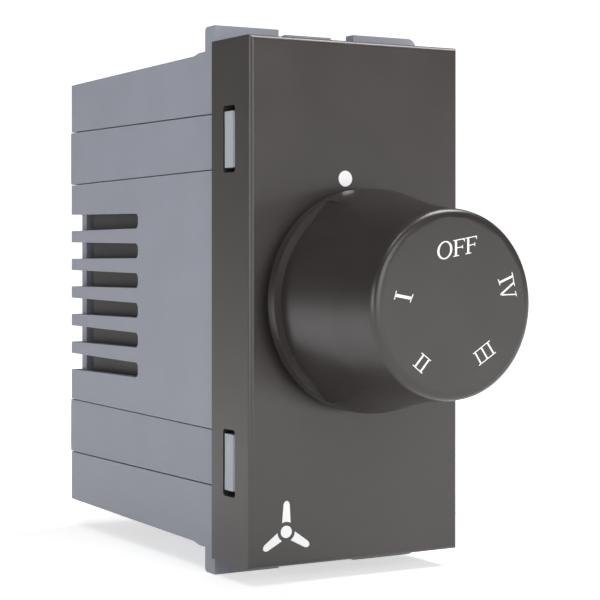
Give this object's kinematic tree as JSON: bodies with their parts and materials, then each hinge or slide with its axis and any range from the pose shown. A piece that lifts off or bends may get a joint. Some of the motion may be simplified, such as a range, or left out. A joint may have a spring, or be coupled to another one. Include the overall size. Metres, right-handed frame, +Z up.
{
  "type": "fan speed control switch",
  "caption": "Modular step fan regulator: dark front plate, round finger-grip knob, light grey housing with vents, side clip arms and mounting lugs.",
  "frame": {"origin": "centre of the flange plane that bears on the mounting frame, on the knob axis", "axes": "+Z up, +X to the right seen from the front, +Y to the rear, so the knob faces -Y"},
  "size_m": [0.0241, 0.0594, 0.0536],
  "materials": {
    "plate": "satin dark brown grey",
    "knob": "satin dark grey",
    "housing": "satin light blue grey",
    "carrier": "satin light blue grey",
    "case": "matt black",
    "rotor": "satin white",
    "capacitor": "satin dark grey",
    "board": "laminate",
    "laminate": "laminate",
    "resistor": "matt",
    "steel": "plated",
    "brass": "plain"
  },
  "bodies": {
    "module": {"front_plate": "plate", "carrier": "carrier", "housing": "housing", "bush": "brass", "lock_washer": "steel", "bush_nut": "brass", "switch_case": "case", "detent_spring": "steel", "contact_wafer": "laminate", "fixed_contacts": "brass", "common_ring": "brass", "circuit_board": "board", "capacitor_upper": "capacitor", "capacitor_lower": "capacitor", "resistors": "resistor", "terminal_line": "brass", "terminal_load": "brass", "terminal_screw_line": "steel", "terminal_screw_load": "steel"},
    "knob_shaft": {"knob": "knob", "hub_collar": "steel", "spindle": "steel", "retaining_clip": "steel", "rotor": "rotor", "wiper": "brass"}
  },
  "joints": [
    {"name": "knob_turn", "type": "hinge", "parent": "module", "child": "knob_shaft", "pos_m": [0, 0, 0], "axis": [0, 1, 0], "range_deg": [0, 288], "deforming": ["detent_spring"]}
  ]
}
